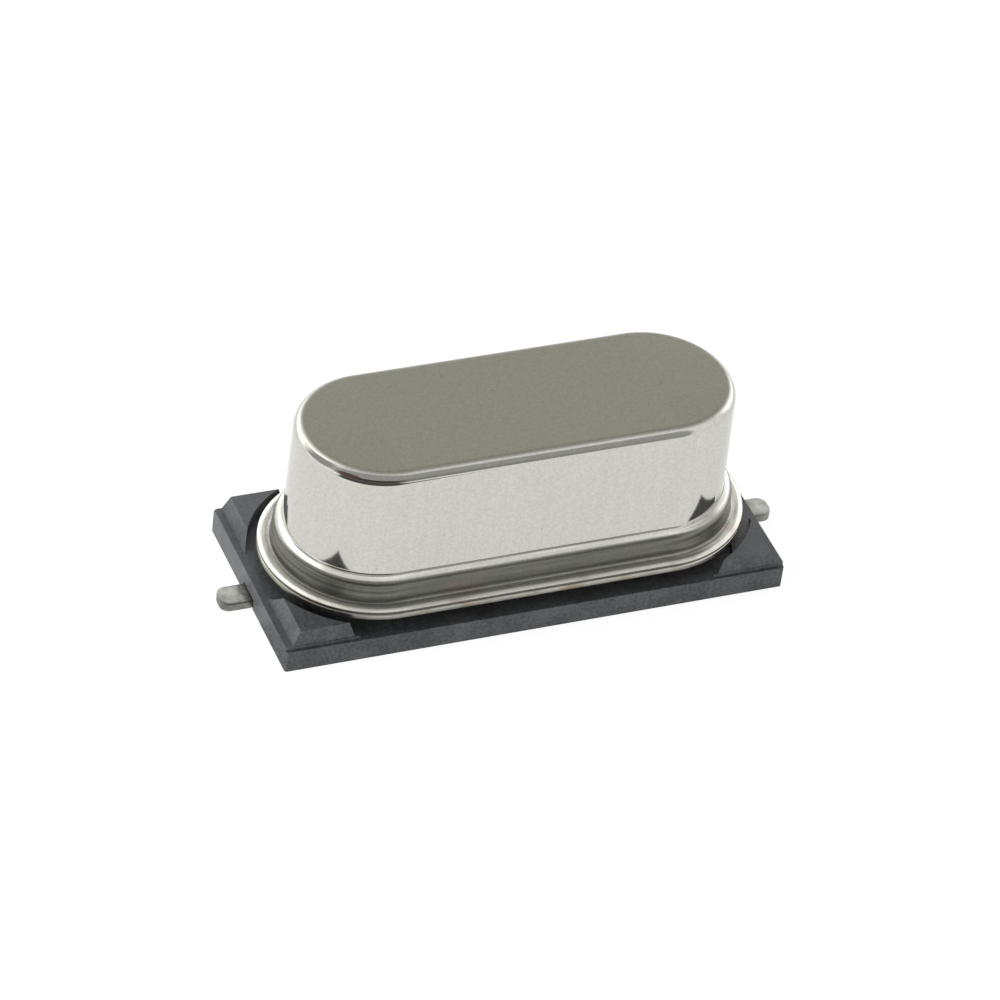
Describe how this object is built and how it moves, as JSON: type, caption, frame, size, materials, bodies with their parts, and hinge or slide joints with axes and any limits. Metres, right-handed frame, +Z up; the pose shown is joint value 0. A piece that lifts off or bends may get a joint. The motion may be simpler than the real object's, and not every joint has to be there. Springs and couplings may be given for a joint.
{
  "type": "surface-mount quartz crystal unit",
  "caption": "Low metal-can quartz crystal on a moulded surface-mount base, with a stepped welded flange and a flat solder tail at each end.",
  "frame": {"origin": "middle of the footprint, on the board's surface", "axes": "+X along the length from tail to tail, +Y across the width, +Z up from the board"},
  "size_m": [0.0128, 0.0048, 0.0044],
  "materials": {
    "base_plastic": "charcoal high-temperature moulding, slight sheen",
    "can_metal": "drawn and nickel-plated, matte top and brighter walls",
    "header_metal": "stamped and nickel-plated",
    "seal_glass": "dark sealing glass",
    "tinned_wire": "tinned, satin",
    "spring_metal": "stamped nickel-silver strip",
    "quartz": "lapped quartz, clear",
    "silver_film": "evaporated silver",
    "silver_cement": "silver-filled cement, dull"
  },
  "bodies": {
    "root": {"insulator_base": "base_plastic", "can": "can_metal", "header": "header_metal", "glass_bead_left": "seal_glass", "glass_bead_right": "seal_glass", "lead_left": "tinned_wire", "lead_right": "tinned_wire", "spring_left": "spring_metal", "spring_right": "spring_metal", "quartz_blank": "quartz", "electrode_top": "silver_film", "electrode_bottom": "silver_film", "cement_left": "silver_cement", "cement_right": "silver_cement"}
  },
  "joints": []
}
